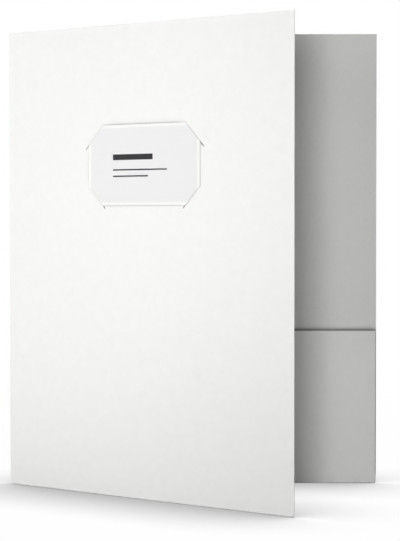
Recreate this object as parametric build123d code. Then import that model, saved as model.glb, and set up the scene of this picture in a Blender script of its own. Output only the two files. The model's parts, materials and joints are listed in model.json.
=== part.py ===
from build123d import *
from math import cos, radians, sin, sqrt, tan
import os

# Two pocket presentation folder: one die-cut sheet of white coated board, scored, folded and glued,
# with a name card tucked into four slits of its front cover. It stands half open on its bottom edge.
# Millimetres, Z up along the spine, X along the back cover, origin under the middle of the whole.

# The sheet
cover_width = 241.3  # from a cover's crease to its outer edge
cover_height = 298.45
board_thickness = 0.4
spine_width = 4.8  # from crease to crease
standing_angle = 41.3  # degrees between the covers as the folder stands

# The creases beside the spine
bead_rise = 0.02  # how far the pressed bead stands out of the board's faces
crease_clearance = 0.03  # between the bead and the edge of a cover

# The pockets
pocket_height = 101.6
pocket_inset = 0.5  # from the cover's outer edge to the pocket's outer fold
foot_setback = 3.2  # from the crease to the pocket's inner end, at its foot
mouth_setback = 9.5  # the same at its mouth

# The glue tabs
tab_width = 16.0
tab_taper = 6.0  # how much lower each end of the tab is at its free edge
tab_foot_gap = 1.0  # from the bottom fold up to the tab
glue_thickness = 0.1
glue_margin = 3.0  # bare border of the tab around the glue
glue_stop = 22.0  # from the pocket's mouth down to the end of the glue, so that none squeezes out there

# The name card and its slits
card_width = 94.0
card_height = 50.8
card_thickness = 0.3
card_drop = 63.2  # from the cover's top edge to the card's
corner_tuck = 12.0  # length of each card edge that goes behind the cover at a corner
bend_angle = 60.0  # degrees that the card's corners turn to pass through the board
slit_clearance = 0.1  # from the card to the sides of a slit
slit_end_clearance = 0.5  # from the card's edge to the end of a slit that stops it
upper_slit_overrun = 3.0  # how far the upper slits show beyond the card's sides
lower_slit_overrun = 1.8  # how far the lower slits show below the card

# Sizes that follow
half_board = board_thickness / 2
bead_radius = half_board + bead_rise
bead_seat = sqrt(bead_radius**2 - half_board**2)  # from the hinge line to the spine's edge
crease_edge = bead_radius + crease_clearance  # from the hinge line to a cover's edge
pocket_gap = board_thickness + glue_thickness  # room for the glued tab behind the pocket
pocket_back = half_board + pocket_gap  # from the middle of the cover's board to the pocket
fold_outer = pocket_gap / 2 + board_thickness
fold_inner = pocket_gap / 2
pocket_end = cover_width - pocket_inset  # outermost line of the folded pocket
tab_line = pocket_end - board_thickness  # line about which the tab is folded
tab_foot = fold_outer + tab_foot_gap
card_middle = (cover_width / 2, cover_height - card_drop - card_height / 2)
bend = radians(bend_angle)
band = card_thickness / (2 * sin(bend))  # half the card's thickness, measured along the cover
slit_width = 2 * (half_board / tan(bend) + band + slit_clearance)
corner_run = corner_tuck / sqrt(2)  # half the length of card that lies in a slit

# A leaf is a cover with its pocket. It is drawn with its crease on the Z axis, its board running out
# along X, and the inside of the folder towards +Y.


def panel(corners, start, thickness):
    """Flat board with an outline of (along, up) points, from a start depth towards the inside."""
    outline = Polyline(*[(along, start, up) for along, up in corners], close=True)
    return extrude(Face(outline), amount=thickness, dir=(0, 1, 0))


def cover():
    """Cover panel. Beside its crease it reaches the ground, and further out it ends in the bottom fold."""
    corners = [
        (crease_edge, 0),
        (foot_setback, 0),
        (foot_setback, fold_outer),
        (cover_width, fold_outer),
        (cover_width, cover_height),
        (crease_edge, cover_height),
    ]
    return panel(corners, -half_board, board_thickness)


def pocket():
    """Pocket panel, whose inner end slopes back towards its mouth."""
    corners = [
        (foot_setback, fold_outer),
        (tab_line, fold_outer),
        (tab_line, pocket_height),
        (mouth_setback, pocket_height),
    ]
    return panel(corners, pocket_back, board_thickness)


def pocket_fold():
    """Half tube of board that turns the pocket up from the bottom of the cover."""
    lower_half = Pos(0, -fold_outer / 2) * Rectangle(2 * fold_outer, fold_outer)
    section = (Circle(fold_outer) - Circle(fold_inner)) & lower_half
    place = Plane.YZ.offset(foot_setback) * Pos(half_board + pocket_gap / 2, fold_outer)
    return extrude(place * section, amount=pocket_end - foot_setback)


def glue_tab():
    """Tab with sloping ends, folded flat behind the outer end of the pocket."""
    corners = [
        (tab_line, tab_foot),
        (tab_line, pocket_height),
        (tab_line - tab_width, pocket_height - tab_taper),
        (tab_line - tab_width, tab_foot + tab_taper),
    ]
    return panel(corners, half_board + glue_thickness, board_thickness)


def tab_fold():
    """Upright half round of board between the pocket and its tab."""
    outer_half = Pos(board_thickness / 2, 0) * Rectangle(board_thickness, 2 * board_thickness)
    section = Circle(board_thickness) & outer_half
    place = Plane.XY.offset(tab_foot) * Pos(tab_line, pocket_back)
    return extrude(place * section, amount=pocket_height - tab_foot)


def glue_strip():
    """Line of dry glue between the tab and the cover."""
    inner = tab_line - tab_width + glue_margin
    outer = tab_line - glue_margin
    low = tab_foot + tab_taper + glue_margin
    high = pocket_height - glue_stop
    corners = [(inner, low), (outer, low), (outer, high), (inner, high)]
    return panel(corners, half_board, glue_thickness)


def leaf():
    """Every piece of one cover with its pocket, by the second half of its name."""
    return {
        "cover": cover(),
        "pocket": pocket(),
        "pocket_fold": pocket_fold(),
        "glue_tab": glue_tab(),
        "tab_fold": tab_fold(),
        "glue_strip": glue_strip(),
    }


# The spine is drawn with the back crease on the Z axis and the front crease along +X.


def spine():
    """Narrow panel between the creases."""
    width = spine_width - 2 * bead_seat
    low_corner = Align.MIN, Align.CENTER, Align.MIN
    return Pos(bead_seat, 0, 0) * Box(width, board_thickness, cover_height, align=low_corner)


def crease():
    """Pressed bead on a hinge line, flat where it joins the edge of the spine."""
    depth = bead_radius + bead_seat
    beyond_spine = Pos(bead_seat - depth / 2, 0) * Rectangle(depth, 2 * bead_radius)
    return extrude(Circle(bead_radius) & beyond_spine, amount=cover_height)


# The card is drawn on the front leaf, in that leaf's own directions. Each of its corners has a plane
# on the middle of its slit, with X across the slit towards the corner and Y towards the inside.
corner_signs = [(side, level) for side in (-1, 1) for level in (-1, 1)]


def corner_plane(side, level):
    """Plane on the slit at the left or right side, at the lower or upper level."""
    along = card_middle[0] + side * (card_width - corner_tuck) / 2
    up = card_middle[1] + level * (card_height - corner_tuck) / 2
    return Plane(origin=(along, 0, up), x_dir=(side, 0, level), z_dir=(-level, 0, side))


def slit(side, level):
    """Cutter for one slit. An upper slit stops the card's top edge, and a lower one its side."""
    upper = level > 0
    past_side = upper_slit_overrun * sqrt(2) if upper else slit_end_clearance
    past_edge = slit_end_clearance if upper else lower_slit_overrun * sqrt(2)
    length = 2 * corner_run + past_side + past_edge
    shift = side * level * (past_edge - past_side) / 2
    return corner_plane(side, level) * Pos(0, 0, shift) * Box(slit_width, 2 * board_thickness, length)


def tucked_corner(side, level):
    """Strip of card that runs on the cover's outside, through the slit and on behind the cover."""
    front = -half_board - card_thickness
    back = half_board + card_thickness
    section = [
        (-slit_width, front),
        (front / tan(bend) + band, front),
        (half_board / tan(bend) + band, half_board),
        (corner_tuck, half_board),
        (corner_tuck, back),
        (back / tan(bend) - band, back),
        (-half_board / tan(bend) - band, -half_board),
        (-slit_width, -half_board),
    ]
    profile = make_face(Polyline(*section, close=True).edges())
    return extrude(corner_plane(side, level) * profile, amount=corner_tuck, both=True)


def name_card():
    """Card with a flat face on the cover and four bent corners, cut to one rectangle."""
    along, up = card_middle
    depth = 2 * (half_board + card_thickness)
    cut = Pos(along, 0, up) * Box(card_width, depth, card_height)
    flat = Pos(along, -half_board - card_thickness / 2, up) * Box(card_width, card_thickness, card_height)
    beyond = Pos(corner_tuck / 2 - slit_width, 0, 0) * Box(corner_tuck, 2 * depth, 2 * corner_tuck)
    for signs in corner_signs:
        flat -= corner_plane(*signs) * beyond
    for signs in corner_signs:
        flat += tucked_corner(*signs) & cut
    return flat


# Assembly about the back crease, which is on the Z axis until the whole is centred
half_angle = standing_angle / 2
front_crease_line = (
    -spine_width * sin(radians(half_angle)),
    -spine_width * cos(radians(half_angle)),
)
spine_turn = Rot(0, 0, -90 - half_angle)
front_turn = Pos(*front_crease_line) * Rot(0, 0, -standing_angle)

pieces = {}
for name, piece in leaf().items():
    pieces["back_" + name] = mirror(piece, about=Plane.XZ)
    pieces["front_" + name] = front_turn * piece
for signs in corner_signs:
    pieces["front_cover"] -= front_turn * slit(*signs)
pieces["name_card"] = front_turn * name_card()
pieces["spine"] = spine_turn * spine()
pieces["back_crease"] = spine_turn * crease()
pieces["front_crease"] = spine_turn * Pos(spine_width, 0, 0) * Rot(0, 0, 180) * crease()

# The origin goes under the middle of the box around every piece
boxes = [piece.bounding_box() for piece in pieces.values()]
middle_x = (min(box.min.X for box in boxes) + max(box.max.X for box in boxes)) / 2
middle_y = (min(box.min.Y for box in boxes) + max(box.max.Y for box in boxes)) / 2
centring = Pos(-middle_x, -middle_y, -min(box.min.Z for box in boxes))

os.makedirs("parts", exist_ok=True)
for name, piece in pieces.items():
    export_step(centring * piece, f"parts/{name}.step")

print("back crease line at", -middle_x, -middle_y)
print("front crease line at", front_crease_line[0] - middle_x, front_crease_line[1] - middle_y)
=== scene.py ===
import json
import math

import bmesh
import bpy
from mathutils import Matrix, Vector


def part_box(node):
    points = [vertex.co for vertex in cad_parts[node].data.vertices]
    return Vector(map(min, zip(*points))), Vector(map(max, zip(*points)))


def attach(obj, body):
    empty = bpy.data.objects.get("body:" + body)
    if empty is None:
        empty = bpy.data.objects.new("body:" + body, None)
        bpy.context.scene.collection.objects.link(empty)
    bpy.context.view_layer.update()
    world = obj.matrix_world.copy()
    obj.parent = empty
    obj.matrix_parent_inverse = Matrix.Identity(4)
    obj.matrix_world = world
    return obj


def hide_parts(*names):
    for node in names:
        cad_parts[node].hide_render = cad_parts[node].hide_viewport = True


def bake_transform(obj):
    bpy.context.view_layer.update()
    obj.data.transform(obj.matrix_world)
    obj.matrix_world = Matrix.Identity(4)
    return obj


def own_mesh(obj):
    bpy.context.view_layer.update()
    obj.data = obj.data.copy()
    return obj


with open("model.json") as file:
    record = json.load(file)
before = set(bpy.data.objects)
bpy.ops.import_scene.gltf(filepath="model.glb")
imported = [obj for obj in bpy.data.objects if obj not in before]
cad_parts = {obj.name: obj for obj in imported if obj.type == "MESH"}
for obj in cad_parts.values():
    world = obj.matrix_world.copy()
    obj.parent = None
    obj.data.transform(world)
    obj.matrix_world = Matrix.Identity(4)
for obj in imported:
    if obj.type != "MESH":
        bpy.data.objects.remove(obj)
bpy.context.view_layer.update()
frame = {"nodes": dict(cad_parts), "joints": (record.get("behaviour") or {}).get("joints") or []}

# The covers
# Two large panels of one die-cut sheet of white board, 0.4 mm thick, coated on its outside only.
# The cutting knife presses their edges slightly round and leaves the board's bare core showing there.
mm = 0.001
knife_rounding = 0.06 * mm
merge_distance = 0.002 * mm
cockle_size = 70.0 * mm
cockle_height = 0.8 * mm
cloud_size = 5.0 * mm
tooth_size = 0.35 * mm
tooth_height = 0.02 * mm
fibre_size = 0.9 * mm
fibre_height = 0.05 * mm
cloud_range = (0.3, 0.7)
gloss_range = (0.48, 0.58)
# Painted shade: the boards' colours are darkened where another layer stands within gap_reach of them.
gap_reach = 4.2 * mm
gap_deep = 0.7
gap_none = 0.985
gap_samples = 16
coated_shade = 0.5
bare_shade = 0.28
cut_angle = math.radians(30)
flat_angle = math.radians(1)
facing = 0.5


def linear(hex_colour):
    """Linear RGBA of an sRGB hex colour such as F4F4F2."""
    levels = [int(hex_colour[i : i + 2], 16) / 255 for i in (0, 2, 4)]
    return (*(x / 12.92 if x <= 0.04045 else ((x + 0.055) / 1.055) ** 2.4 for x in levels), 1.0)


def add(tree, kind, inputs=None, **settings):
    """Adds a node with its settings. An input gets a value, or a link where it is given an output."""
    node = tree.nodes.new(kind)
    for name, value in settings.items():
        setattr(node, name, value)
    for name, value in (inputs or {}).items():
        if isinstance(value, bpy.types.NodeSocket):
            tree.links.new(value, node.inputs[name])
        else:
            node.inputs[name].default_value = value
    return node


def new_material(name):
    """A material with an empty node tree."""
    material = bpy.data.materials.new(name)
    material.use_nodes = True
    material.node_tree.nodes.clear()
    return material, material.node_tree


def paint_gap_shade(tree, place, colour, darkest):
    """Paints shade into a colour where another layer stands within a few millimetres of it, but not by the
    table.
    """
    open_sky = add(tree, "ShaderNodeAmbientOcclusion", {"Distance": gap_reach}, samples=gap_samples)
    shade = add(
        tree,
        "ShaderNodeMapRange",
        {"Value": open_sky.outputs["AO"], "From Min": gap_deep, "From Max": gap_none, "To Min": darkest},
    )
    height = add(tree, "ShaderNodeSeparateXYZ", {"Vector": place}).outputs["Z"]
    off_table = add(
        tree, "ShaderNodeMapRange", {"Value": height, "From Min": gap_reach, "From Max": 2 * gap_reach}
    )
    shaded = add(
        tree,
        "ShaderNodeMix",
        {"Factor": off_table.outputs["Result"], "A": colour, "B": shade.outputs["Result"]},
        data_type="RGBA",
        blend_type="MULTIPLY",
    )
    return shaded.outputs["Result"]


# Clay-coated board, calendered: near white, with faint clouds some 5 mm across where the coating lies
# unevenly, a soft gloss broken by a fine tooth, and a slow cockle that makes its shading drift a little.
# Close beside another layer, as round the card, shade is painted into its colour.
coated_board, tree = new_material("clay coated board, calendered")
place = add(tree, "ShaderNodeTexCoord").outputs["Object"]
clouds = add(tree, "ShaderNodeTexNoise", {"Vector": place, "Scale": 1 / cloud_size, "Detail": 3.0})
cockle = add(tree, "ShaderNodeTexNoise", {"Vector": place, "Scale": 1 / cockle_size, "Detail": 1.0})
tooth = add(tree, "ShaderNodeTexNoise", {"Vector": place, "Scale": 1 / tooth_size, "Detail": 2.0})
white = add(
    tree,
    "ShaderNodeMix",
    {"Factor": clouds.outputs["Fac"], "A": linear("F3F3F1"), "B": linear("F9F9F7")},
    data_type="RGBA",
)
gloss = add(
    tree,
    "ShaderNodeMapRange",
    {
        "Value": clouds.outputs["Fac"],
        "From Min": cloud_range[0],
        "From Max": cloud_range[1],
        "To Min": gloss_range[0],
        "To Max": gloss_range[1],
    },
)
waves = add(tree, "ShaderNodeBump", {"Height": cockle.outputs["Fac"], "Distance": cockle_height})
relief = add(
    tree,
    "ShaderNodeBump",
    {"Height": tooth.outputs["Fac"], "Distance": tooth_height, "Normal": waves.outputs["Normal"]},
)
surface = add(
    tree,
    "ShaderNodeBsdfPrincipled",
    {
        "Base Color": paint_gap_shade(tree, place, white.outputs["Result"], coated_shade),
        "Roughness": gloss.outputs["Result"],
        "Normal": relief.outputs["Normal"],
        "IOR": 1.48,
    },
)
add(tree, "ShaderNodeOutputMaterial", {"Surface": surface.outputs["BSDF"]})

# Bare side of the board, machine finished: the same white a shade greyer, matte, with a felt of fine
# fibres. The felt is drawn about twice as coarse as real, so that it shows. Close beside another layer,
# as above a pocket's mouth, dark shade is painted into its colour.
bare_board, tree = new_material("bleached board, uncoated side")
place = add(tree, "ShaderNodeTexCoord").outputs["Object"]
felt = add(tree, "ShaderNodeTexNoise", {"Vector": place, "Scale": 1 / (2 * fibre_size), "Detail": 5.0})
cockle = add(tree, "ShaderNodeTexNoise", {"Vector": place, "Scale": 1 / cockle_size, "Detail": 1.0})
grey = add(
    tree,
    "ShaderNodeMix",
    {"Factor": felt.outputs["Fac"], "A": linear("EBEBE8"), "B": linear("F3F3F1")},
    data_type="RGBA",
)
waves = add(tree, "ShaderNodeBump", {"Height": cockle.outputs["Fac"], "Distance": cockle_height})
relief = add(
    tree,
    "ShaderNodeBump",
    {"Height": felt.outputs["Fac"], "Distance": fibre_height, "Normal": waves.outputs["Normal"]},
)
surface = add(
    tree,
    "ShaderNodeBsdfPrincipled",
    {
        "Base Color": paint_gap_shade(tree, place, grey.outputs["Result"], bare_shade),
        "Normal": relief.outputs["Normal"],
        "Roughness": 0.8,
    },
)
add(tree, "ShaderNodeOutputMaterial", {"Surface": surface.outputs["BSDF"]})

# Board core, knife cut: matte pressed fibre, a shade warmer and rougher than either face.
cut_board, tree = new_material("bleached board core, knife cut")
place = add(tree, "ShaderNodeTexCoord").outputs["Object"]
fibres = add(tree, "ShaderNodeTexNoise", {"Vector": place, "Scale": 1 / fibre_size, "Detail": 4.0})
core = add(
    tree,
    "ShaderNodeMix",
    {"Factor": fibres.outputs["Fac"], "A": linear("E9E7E1"), "B": linear("F8F7F3")},
    data_type="RGBA",
)
relief = add(tree, "ShaderNodeBump", {"Height": fibres.outputs["Fac"], "Distance": fibre_height})
surface = add(
    tree,
    "ShaderNodeBsdfPrincipled",
    {"Base Color": core.outputs["Result"], "Normal": relief.outputs["Normal"], "Roughness": 0.85},
)
add(tree, "ShaderNodeOutputMaterial", {"Surface": surface.outputs["BSDF"]})

joints = {joint["name"]: joint for joint in frame["joints"]}
upright = Vector((0, 0, 1))
front_inside = -Vector(joints["card_pull"]["axis"]).normalized()
back_inside = Vector((0, -1, 0))
# A leaf is a cover with its pocket. It has a crease line, a way to the folder's inside, a way out along
# its board, and the share of the mouth's spring that is left at its outer end.
leaves = {
    "front": {
        "line": Vector(joints["front_crease_fold"]["pos_m"]),
        "inside": front_inside,
        "along": front_inside.cross(upright),
        "end_spring": 0.0,
    },
    "back": {
        "line": Vector(joints["back_crease_fold"]["pos_m"]),
        "inside": back_inside,
        "along": upright.cross(back_inside),
        "end_spring": 1.0,
    },
}
back_line = leaves["back"]["line"]
front_line = leaves["front"]["line"]
board = (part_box("back_cover")[1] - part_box("back_cover")[0]).y
crease_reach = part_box("back_cover")[0].x - back_line.x
tab_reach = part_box("back_tab_fold")[0].x - back_line.x
fold_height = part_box("back_pocket")[0].z


def new_piece(name, mesh, *materials):
    """An object for a finished mesh, with its materials."""
    for material in materials:
        mesh.materials.append(material)
    piece = bpy.data.objects.new(name, mesh)
    bpy.context.scene.collection.objects.link(piece)
    return piece


def dress_panel(shape, coated_way):
    """Gives a panel's coated face, bare face and cut edges their places in the list of materials."""
    for face in shape.faces:
        towards = face.normal.dot(coated_way)
        face.material_index = 0 if towards > facing else 1 if towards < -facing else 2


def runs_on(edge, leaf):
    """Tells whether a panel's edge is one where the sheet runs on into a crease or a fold."""
    ends = [((vert.co - leaf["line"]).dot(leaf["along"]), vert.co.z) for vert in edge.verts]
    fold_lines = ((0, crease_reach), (0, tab_reach), (1, fold_height))
    return any(max(abs(end[way] - line) for end in ends) < knife_rounding for way, line in fold_lines)


def round_edges(shape, kept_sharp):
    """Presses a panel's cut edges slightly round, apart from those that are kept sharp."""
    sharp = [edge for edge in shape.edges if edge.calc_face_angle(0) > cut_angle]
    cut = [edge for edge in sharp if not kept_sharp(edge)]
    bmesh.ops.bevel(shape, geom=cut, offset=knife_rounding, segments=2, profile=0.5, affect="EDGES")


def finished_mesh(name, shape):
    """Turns a shape into a mesh."""
    mesh = bpy.data.meshes.new(name)
    shape.to_mesh(mesh)
    shape.free()
    return mesh


def die_cut(node, leaf, coated_way):
    """A flat panel of the sheet from its node, with rounded cut edges."""
    shape = bmesh.new()
    shape.from_mesh(frame["nodes"][node].data)
    bmesh.ops.remove_doubles(shape, verts=shape.verts, dist=merge_distance)
    bmesh.ops.dissolve_limit(shape, angle_limit=flat_angle, verts=shape.verts, edges=shape.edges)
    round_edges(shape, lambda edge: runs_on(edge, leaf))
    dress_panel(shape, coated_way)
    name = node + "_board"
    return new_piece(name, finished_mesh(name, shape), coated_board, bare_board, cut_board)


def place_board(piece, node, body):
    """Makes a piece of the sheet move with its body and stand for its node."""
    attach(piece, body)
    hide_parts(node)


for side, leaf in leaves.items():
    place_board(die_cut(side + "_cover", leaf, -leaf["inside"]), side + "_cover", side + "_leaf")

# The spine and its creases
# A narrow strip of the same board between two scores, so that the covers can close parallel.
# Each score is pressed, not cut, so there the sheet bends round in one smooth curve, built here as it lies
# at rest.
sheet_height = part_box("spine")[1].z
fold_steps = 14
smooth_angle = math.radians(40)

board_fold = bpy.data.node_groups.new("folded board", "GeometryNodeTree")
for label, kind in (
    ("Bend radius", "NodeSocketFloat"),
    ("Turn", "NodeSocketFloat"),
    ("Thickness", "NodeSocketFloat"),
    ("Length", "NodeSocketFloat"),
    ("Edge rounding", "NodeSocketFloat"),
    ("Steps", "NodeSocketInt"),
    ("Board", "NodeSocketMaterial"),
):
    board_fold.interface.new_socket(label, in_out="INPUT", socket_type=kind)
board_fold.interface.new_socket("Geometry", in_out="OUTPUT", socket_type="NodeSocketGeometry")
sizes = add(board_fold, "NodeGroupInput").outputs
arc = add(
    board_fold,
    "GeometryNodeCurveArc",
    {"Resolution": sizes["Steps"], "Radius": sizes["Bend radius"], "Sweep Angle": sizes["Turn"]},
)
section = add(
    board_fold,
    "GeometryNodeCurvePrimitiveQuadrilateral",
    {"Width": sizes["Thickness"], "Height": sizes["Length"]},
)
rounded = add(
    board_fold,
    "GeometryNodeFilletCurve",
    {"Curve": section.outputs["Curve"], "Radius": sizes["Edge rounding"], "Count": 2},
    mode="POLY",
)
swept = add(
    board_fold,
    "GeometryNodeCurveToMesh",
    {"Curve": arc.outputs["Curve"], "Profile Curve": rounded.outputs["Curve"], "Fill Caps": True},
)
real = add(board_fold, "GeometryNodeRealizeInstances", {"Geometry": swept.outputs["Mesh"]})
dressed = add(
    board_fold, "GeometryNodeSetMaterial", {"Geometry": real.outputs["Geometry"], "Material": sizes["Board"]}
)
add(board_fold, "NodeGroupOutput", {"Geometry": dressed.outputs["Geometry"]})


def folded(name, centre, start, travel, radius, turn, length):
    """Board bent about a line through centre: it begins in the start direction and turns to travel."""
    piece = new_piece(name, bpy.data.meshes.new(name))
    modifier = piece.modifiers.new("fold", "NODES")
    modifier.node_group = board_fold
    values = {
        "Bend radius": radius,
        "Turn": turn,
        "Thickness": board,
        "Length": length,
        "Edge rounding": knife_rounding,
        "Steps": fold_steps,
        "Board": coated_board,
    }
    for label, value in values.items():
        modifier[board_fold.interface.items_tree[label].identifier] = value
    bpy.context.view_layer.update()
    mesh = bpy.data.meshes.new_from_object(piece.evaluated_get(bpy.context.evaluated_depsgraph_get()))
    piece.modifiers.clear()
    axis = start.cross(travel)
    mesh.transform(Matrix.Translation(centre) @ Matrix((start, travel, axis)).transposed().to_4x4())
    mesh.materials.append(bare_board)
    for face in mesh.polygons:
        outwards = face.center - centre
        outwards -= axis * outwards.dot(axis)
        face.material_index = 1 if face.normal.dot(outwards) < -facing * outwards.length else 0
    mesh.shade_smooth()
    mesh.set_sharp_from_angle(angle=smooth_angle)
    piece.data = mesh
    return piece


spine_run = (back_line - front_line).normalized()
half_height = upright * (sheet_height / 2)
for side, leaf in leaves.items():
    to_spine = spine_run if side == "front" else -spine_run
    to_cover = leaf["along"]
    turn = math.pi - to_spine.angle(to_cover)
    radius = crease_reach / math.tan(turn / 2)
    middle = leaf["line"] + (to_spine + to_cover).normalized() * (radius / math.cos(turn / 2)) + half_height
    begin = leaf["line"] + to_spine * crease_reach + half_height
    outwards = (begin - middle).normalized()
    crease = folded(side + "_crease_board", middle, outwards, -to_spine, radius, turn, sheet_height)
    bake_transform(crease)
    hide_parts(side + "_crease")

spine_width = (back_line - front_line).length - 2 * crease_reach
spine_outside = upright.cross(spine_run)
shape = bmesh.new()
bmesh.ops.create_cube(shape, size=1.0)
bmesh.ops.scale(shape, vec=(spine_width, board, sheet_height), verts=shape.verts)
bmesh.ops.transform(
    shape,
    matrix=Matrix.Translation((front_line + back_line) / 2 + half_height)
    @ Matrix((spine_run, spine_outside, spine_run.cross(spine_outside))).transposed().to_4x4(),
    verts=shape.verts,
)
round_edges(shape, lambda edge: abs(edge.verts[0].co.z - edge.verts[1].co.z) > board)
dress_panel(shape, spine_outside)
mesh = finished_mesh("spine_board", shape)
place_board(new_piece("spine_board", mesh, coated_board, bare_board, cut_board), "spine", "spine")

# The pockets
# Flaps of the same sheet, turned up inside the covers round the bottom folds that the folder stands on,
# so their coated side shows. Above the glue the board springs slightly off the cover, most at the mouth.
pocket_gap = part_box("back_cover")[0].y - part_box("back_pocket")[1].y
foot_low, foot_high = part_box("back_pocket_fold")
glue_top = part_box("back_glue_strip")[1].z
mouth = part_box("back_pocket")[1].z
closing_room = (back_line - front_line).length / 2 - board / 2 - pocket_gap - board
closing_slack = 0.05 * mm
mouth_spring = closing_room - closing_slack
mouth_steps = 8
held_length = 90.0 * mm


def eased(share):
    """A smooth step from nought to one."""
    share = max(0.0, min(1.0, share))
    return share**2 * (3 - 2 * share)


def cut_across(shape, place, way):
    """Gives a shape new edges along the plane through a place, square to a way."""
    whole = list(shape.verts) + list(shape.edges) + list(shape.faces)
    bmesh.ops.bisect_plane(shape, geom=whole, dist=merge_distance, plane_co=place, plane_no=way)


def open_mouth(piece, leaf):
    """Bends a piece off its cover above the glue. At its outer end it springs by the leaf's own share."""
    shape = bmesh.new()
    shape.from_mesh(piece.data)
    for step in range(mouth_steps):
        level = upright * (glue_top + (mouth - glue_top) * step / mouth_steps)
        upright_line = leaf["line"] + leaf["along"] * (tab_reach - held_length * (step + 1) / mouth_steps)
        cut_across(shape, level, upright)
        cut_across(shape, upright_line, leaf["along"])
    for vert in shape.verts:
        rise = max(0.0, (vert.co.z - glue_top) / (mouth - glue_top))
        from_end = tab_reach - (vert.co - leaf["line"]).dot(leaf["along"])
        spring = leaf["end_spring"] + (1 - leaf["end_spring"]) * eased(from_end / held_length)
        vert.co += leaf["inside"] * (mouth_spring * spring * rise**2)
    shape.to_mesh(piece.data)
    shape.free()


for side, leaf in leaves.items():
    pocket = die_cut(side + "_pocket", leaf, leaf["inside"])
    open_mouth(pocket, leaf)
    place_board(pocket, side + "_pocket", side + "_leaf")
    centre = leaf["line"] + leaf["along"] * ((foot_low.x + foot_high.x) / 2 - back_line.x)
    centre += leaf["inside"] * (board / 2 + pocket_gap / 2) + upright * fold_height
    fold = folded(
        side + "_pocket_fold_board",
        centre,
        -leaf["inside"],
        -upright,
        (pocket_gap + board) / 2,
        math.pi,
        foot_high.x - foot_low.x,
    )
    place_board(fold, side + "_pocket_fold", side + "_leaf")

# The glue tabs
# Short flaps at the outer ends of the pockets, folded flat behind them round a tight upright fold.
# Each is stuck to its cover by one line of white glue, which dries to a thin cloudy film.
tab_low, tab_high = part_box("back_tab_fold")
tab_slack = 0.02 * mm
bubble_size = 2.5 * mm
bubble_height = 0.05 * mm

for side, leaf in leaves.items():
    tab = die_cut(side + "_glue_tab", leaf, -leaf["inside"])
    open_mouth(tab, leaf)
    place_board(tab, side + "_glue_tab", side + "_leaf")
    centre = leaf["line"] + leaf["along"] * tab_reach
    centre += leaf["inside"] * (board / 2 + pocket_gap) + upright * ((tab_low.z + tab_high.z) / 2)
    fold = folded(
        side + "_tab_fold_board",
        centre,
        leaf["inside"],
        leaf["along"],
        board / 2 + tab_slack,
        math.pi,
        tab_high.z - tab_low.z,
    )
    open_mouth(fold, leaf)
    place_board(fold, side + "_tab_fold", side + "_leaf")

# White glue, dried: a cream film that stays a little glossy, with streaks and small bubbles.
glue, tree = new_material("white glue, dried")
place = add(tree, "ShaderNodeTexCoord").outputs["Object"]
streaks = add(tree, "ShaderNodeTexNoise", {"Vector": place, "Scale": 1 / bubble_size, "Detail": 3.0})
film = add(
    tree,
    "ShaderNodeMix",
    {"Factor": streaks.outputs["Fac"], "A": linear("E3DFD0"), "B": linear("F1EEE4")},
    data_type="RGBA",
)
relief = add(tree, "ShaderNodeBump", {"Height": streaks.outputs["Fac"], "Distance": bubble_height})
surface = add(
    tree,
    "ShaderNodeBsdfPrincipled",
    {
        "Base Color": film.outputs["Result"],
        "Normal": relief.outputs["Normal"],
        "Roughness": 0.35,
        "IOR": 1.47,
    },
)
add(tree, "ShaderNodeOutputMaterial", {"Surface": surface.outputs["BSDF"]})
for side in leaves:
    strip = frame["nodes"][side + "_glue_strip"]
    strip.data.materials.clear()
    strip.data.materials.append(glue)

# The name card
# A separate card of smooth stock, held by its corners, which go through slits to the inside. It lies flat
# but for its top and left edges, which spring a little off the cover. It is printed with a pale field
# inside a white border and plain rules.
card_width = 94.0 * mm
card_height = 50.8 * mm
card_thickness = 0.3 * mm
corner_tuck = 12.0 * mm
slit_slope = 0.2 * mm
slit_lean = 0.1 * mm
top_spring = 0.35 * mm
left_spring = 0.5 * mm
spring_reach = 8.0 * mm
card_step = 2.0 * mm
white_border = 1.9 * mm
stock_tooth = 0.6 * mm
stock_relief = 0.03 * mm

card_low, card_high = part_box("name_card")
card_out = -front_inside
card_along = leaves["front"]["along"]
card_reach = ((card_low + card_high) / 2 - front_line).dot(card_along)
card_centre = front_line + card_along * card_reach + upright * ((card_low.z + card_high.z) / 2)
card_axes = Matrix((card_along, upright, card_out)).transposed().to_4x4()
card_frame = Matrix.Translation(card_centre) @ card_axes
bend_distance = (card_width / 2 + card_height / 2 - corner_tuck) / math.sqrt(2) + slit_lean


def card_lift(across, up):
    """How far the middle of the card's stock stands out of the middle of the cover's board."""
    past_bend = (abs(across) + abs(up)) / math.sqrt(2) - bend_distance
    through = max(-1.0, min(1.0, past_bend / slit_slope))
    at_top = top_spring * max(0.0, 2 * up / card_height) ** 2
    at_left = left_spring * max(0.0, -2 * across / card_width) ** 4
    sprung = eased(-past_bend / spring_reach) * (at_top + at_left)
    return sprung - through * (board + card_thickness) / 2


shape = bmesh.new()
cells_across = round(card_width / card_step)
cells_up = round(card_height / card_step)
bmesh.ops.create_grid(shape, x_segments=cells_across, y_segments=cells_up, size=0.5)
bmesh.ops.scale(shape, vec=(card_width, card_height, 1), verts=shape.verts)
for side in (-1, 1):
    for level in (-1, 1):
        towards_corner = Vector((side, level, 0)).normalized()
        for offset in (-slit_slope, slit_slope):
            cut_across(shape, towards_corner * (bend_distance + offset), towards_corner)
for vert in shape.verts:
    vert.co.z = card_lift(vert.co.x, vert.co.y)
sheet = finished_mesh("name_card_sheet", shape)
sheet.transform(card_frame)
card = new_piece("name_card_printed", sheet)
stock = card.modifiers.new("stock", "SOLIDIFY")
stock.thickness = card_thickness
stock.offset = 0.0
stock.material_offset = 1
stock.material_offset_rim = 1

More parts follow.
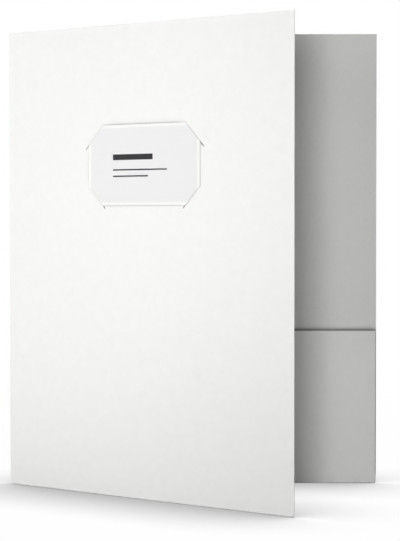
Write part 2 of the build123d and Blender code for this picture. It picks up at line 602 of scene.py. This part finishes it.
# Card stock, offset printed: smooth and matte with a fine tooth, a pale grey field, and flat dark ink.
rules = (
    {"centre": (-9.0 * mm, 5.0 * mm), "size": (34.0 * mm, 3.6 * mm)},
    {"centre": (-3.0 * mm, -3.0 * mm), "size": (46.0 * mm, 0.9 * mm)},
    {"centre": (-11.0 * mm, -7.0 * mm), "size": (30.0 * mm, 0.9 * mm)},
)
field_grey = "EEEEEE"
rule_ink = "232326"
to_card = card_frame.inverted()


def printed_box(tree, spot, centre, size):
    """One where the spot on the card lies in a box, and nought elsewhere."""
    offset = add(tree, "ShaderNodeVectorMath", {0: spot, 1: (*centre, 0.0)}, operation="SUBTRACT")
    apart = add(tree, "ShaderNodeVectorMath", {0: offset.outputs[0]}, operation="ABSOLUTE")
    parts = add(tree, "ShaderNodeSeparateXYZ", {0: apart.outputs[0]}).outputs
    across = add(tree, "ShaderNodeMath", {0: parts["X"], 1: size[0] / 2}, operation="LESS_THAN")
    up = add(tree, "ShaderNodeMath", {0: parts["Y"], 1: size[1] / 2}, operation="LESS_THAN")
    both = add(tree, "ShaderNodeMath", {0: across.outputs[0], 1: up.outputs[0]}, operation="MULTIPLY")
    return both.outputs[0]


def stock_material(name, printed):
    """Card stock, with or without its print."""
    made, tree = new_material(name)
    place = add(tree, "ShaderNodeTexCoord").outputs["Object"]
    tooth = add(tree, "ShaderNodeTexNoise", {"Vector": place, "Scale": 1 / stock_tooth, "Detail": 3.0})
    colour = add(
        tree,
        "ShaderNodeMix",
        {"Factor": tooth.outputs["Fac"], "A": linear("F6F6F5"), "B": linear("FCFCFB")},
        data_type="RGBA",
    ).outputs["Result"]
    if printed:
        spot = add(
            tree,
            "ShaderNodeMapping",
            {"Vector": place, "Location": to_card.translation, "Rotation": to_card.to_euler()},
        ).outputs["Vector"]
        field_size = (card_width - 2 * white_border, card_height - 2 * white_border)
        prints = [((0.0, 0.0), field_size, field_grey)]
        prints += [(rule["centre"], rule["size"], rule_ink) for rule in rules]
        for centre, size, ink in prints:
            colour = add(
                tree,
                "ShaderNodeMix",
                {"Factor": printed_box(tree, spot, centre, size), "A": colour, "B": linear(ink)},
                data_type="RGBA",
            ).outputs["Result"]
    relief = add(tree, "ShaderNodeBump", {"Height": tooth.outputs["Fac"], "Distance": stock_relief})
    surface = add(
        tree,
        "ShaderNodeBsdfPrincipled",
        {"Base Color": colour, "Normal": relief.outputs["Normal"], "Roughness": 0.7},
    )
    add(tree, "ShaderNodeOutputMaterial", {"Surface": surface.outputs["BSDF"]})
    return made


sheet.materials.append(stock_material("card stock, offset printed", True))
sheet.materials.append(stock_material("card stock, plain side", False))
bpy.context.view_layer.update()
solid = bpy.data.meshes.new_from_object(card.evaluated_get(bpy.context.evaluated_depsgraph_get()))
card.modifiers.clear()
card.data = solid
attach(card, "card")
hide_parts("name_card")
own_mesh(card)

# The floor
# A plain white studio table that fades out into the white of the room. To the camera it glows white,
# with a soft shade painted in where something stands on it, and it throws back less light than it shows.
floor_radius = 1.2
fade_start = 0.45
contact_reach = 90.0 * mm
contact_samples = 16
shape = bmesh.new()
bmesh.ops.create_circle(shape, cap_ends=True, segments=96, radius=floor_radius)
floor_mesh = finished_mesh("floor", shape)

# Table paint, rolled: white with no gloss, so that nothing draws the eye off the folder. The camera
# sees it as a white glow with a soft shade painted in near whatever stands on it.
table, tree = new_material("white table paint, matte")
place = add(tree, "ShaderNodeTexCoord").outputs["Object"]
distance = add(tree, "ShaderNodeVectorMath", {0: place}, operation="LENGTH")
fade = add(
    tree,
    "ShaderNodeMapRange",
    {"Value": distance.outputs["Value"], "From Min": fade_start, "From Max": floor_radius},
    interpolation_type="SMOOTHSTEP",
)
# Painted contact shade: the glow is darker within contact_reach of anything that stands on the table.
painted_contact_shade = add(
    tree,
    "ShaderNodeAmbientOcclusion",
    {"Color": linear("FEFEFE"), "Distance": contact_reach},
    samples=contact_samples,
)
# The camera sees the white glow with its painted contact shade; light that bounces meets a plain grey.
seen = add(tree, "ShaderNodeEmission", {"Color": painted_contact_shade.outputs["Color"]})
bounced = add(tree, "ShaderNodeBsdfDiffuse", {"Color": linear("A0A0A0")})
ray = add(tree, "ShaderNodeLightPath").outputs["Is Camera Ray"]
paint = add(tree, "ShaderNodeMixShader", {0: ray, 1: bounced.outputs["BSDF"], 2: seen.outputs["Emission"]})
clear = add(tree, "ShaderNodeBsdfTransparent")
surface = add(
    tree,
    "ShaderNodeMixShader",
    {0: fade.outputs["Result"], 1: paint.outputs["Shader"], 2: clear.outputs["BSDF"]},
)
add(tree, "ShaderNodeOutputMaterial", {"Surface": surface.outputs["Shader"]})
new_piece("floor", floor_mesh, table)

# The light
# Two soft boxes beside the front cover, one high and one level with it, and a wide soft spot below them,
# a box near the camera that reaches in past the cover's free edge, a weak one on the right, two above
# and one behind, in a white room.
spot_radius = 50.0 * mm
lamps = (
    {
        "name": "high side box",
        "at": (-0.93, 0.08, 0.9),
        "to": (-0.03, 0.0, 0.16),
        "width": 0.5,
        "watts": 3.0,
    },
    {
        "name": "level side box",
        "at": (-0.81, -0.36, 0.33),
        "to": (-0.03, 0.0, 0.18),
        "width": 0.36,
        "watts": 2.4,
    },
    {
        "name": "low side spot",
        "at": (-0.49, -0.4, 0.08),
        "to": (-0.09, 0.05, 0.21),
        "cone": 55.0,
        "watts": 3.2,
    },
    {
        "name": "front box",
        "at": (-0.05, -1.01, 0.25),
        "to": (0.1, 0.08, 0.15),
        "width": 0.2,
        "watts": 4.4,
    },
    {
        "name": "right box",
        "at": (0.9, 0.1, 0.35),
        "to": (0.0, 0.0, 0.15),
        "width": 0.4,
        "watts": 2.0,
    },
    {
        "name": "top box",
        "at": (0.0, 0.13, 1.4),
        "to": (0.0, 0.0, 0.0),
        "width": 0.4,
        "watts": 2.0,
    },
    {
        "name": "right top box",
        "at": (0.35, 0.13, 1.2),
        "to": (0.1, 0.0, 0.0),
        "width": 0.4,
        "watts": 1.1,
    },
    {
        "name": "back box",
        "at": (-0.15, 1.2, 0.8),
        "to": (0.0, 0.1, 0.1),
        "width": 0.8,
        "watts": 14.0,
    },
)
for lamp in lamps:
    light = bpy.data.lights.new(lamp["name"], "SPOT" if "cone" in lamp else "AREA")
    if "cone" in lamp:
        light.spot_size = math.radians(lamp["cone"])
        light.spot_blend = 1.0
        light.shadow_soft_size = spot_radius
    else:
        light.shape = "DISK"
        light.size = lamp["width"]
    light.energy = lamp["watts"]
    holder = bpy.data.objects.new(lamp["name"], light)
    holder.location = lamp["at"]
    holder.rotation_euler = (Vector(lamp["to"]) - Vector(lamp["at"])).to_track_quat("-Z", "Y").to_euler()
    holder.visible_camera = False
    bpy.context.scene.collection.objects.link(holder)

# The room is white to look at and gives no light of its own.
room = bpy.data.worlds.new("white room")
room.use_nodes = True
tree = room.node_tree
tree.nodes.clear()
ray = add(tree, "ShaderNodeLightPath").outputs["Is Camera Ray"]
walls = add(tree, "ShaderNodeBackground", {"Color": linear("FFFFFF"), "Strength": ray})
add(tree, "ShaderNodeOutputWorld", {"Surface": walls.outputs["Background"]})
bpy.context.scene.world = room
bpy.context.scene.view_settings.view_transform = "Standard"

# The camera
# A long lens far in front, at about the card's height and square to the back cover.
camera_across = 124.1 * mm
camera_distance = 1399.1 * mm
camera_height = 176.6 * mm
camera_dip = math.radians(1.433)
focal_length = 140.0
film_width = 36.0
view = bpy.data.cameras.new("camera")
view.lens = focal_length
view.sensor_width = film_width
camera = bpy.data.objects.new("camera", view)
camera.location = back_line + Vector((camera_across, -camera_distance, camera_height))
camera.rotation_euler = (math.radians(90) - camera_dip, 0, 0)
bpy.context.scene.collection.objects.link(camera)
bpy.context.scene.camera = camera
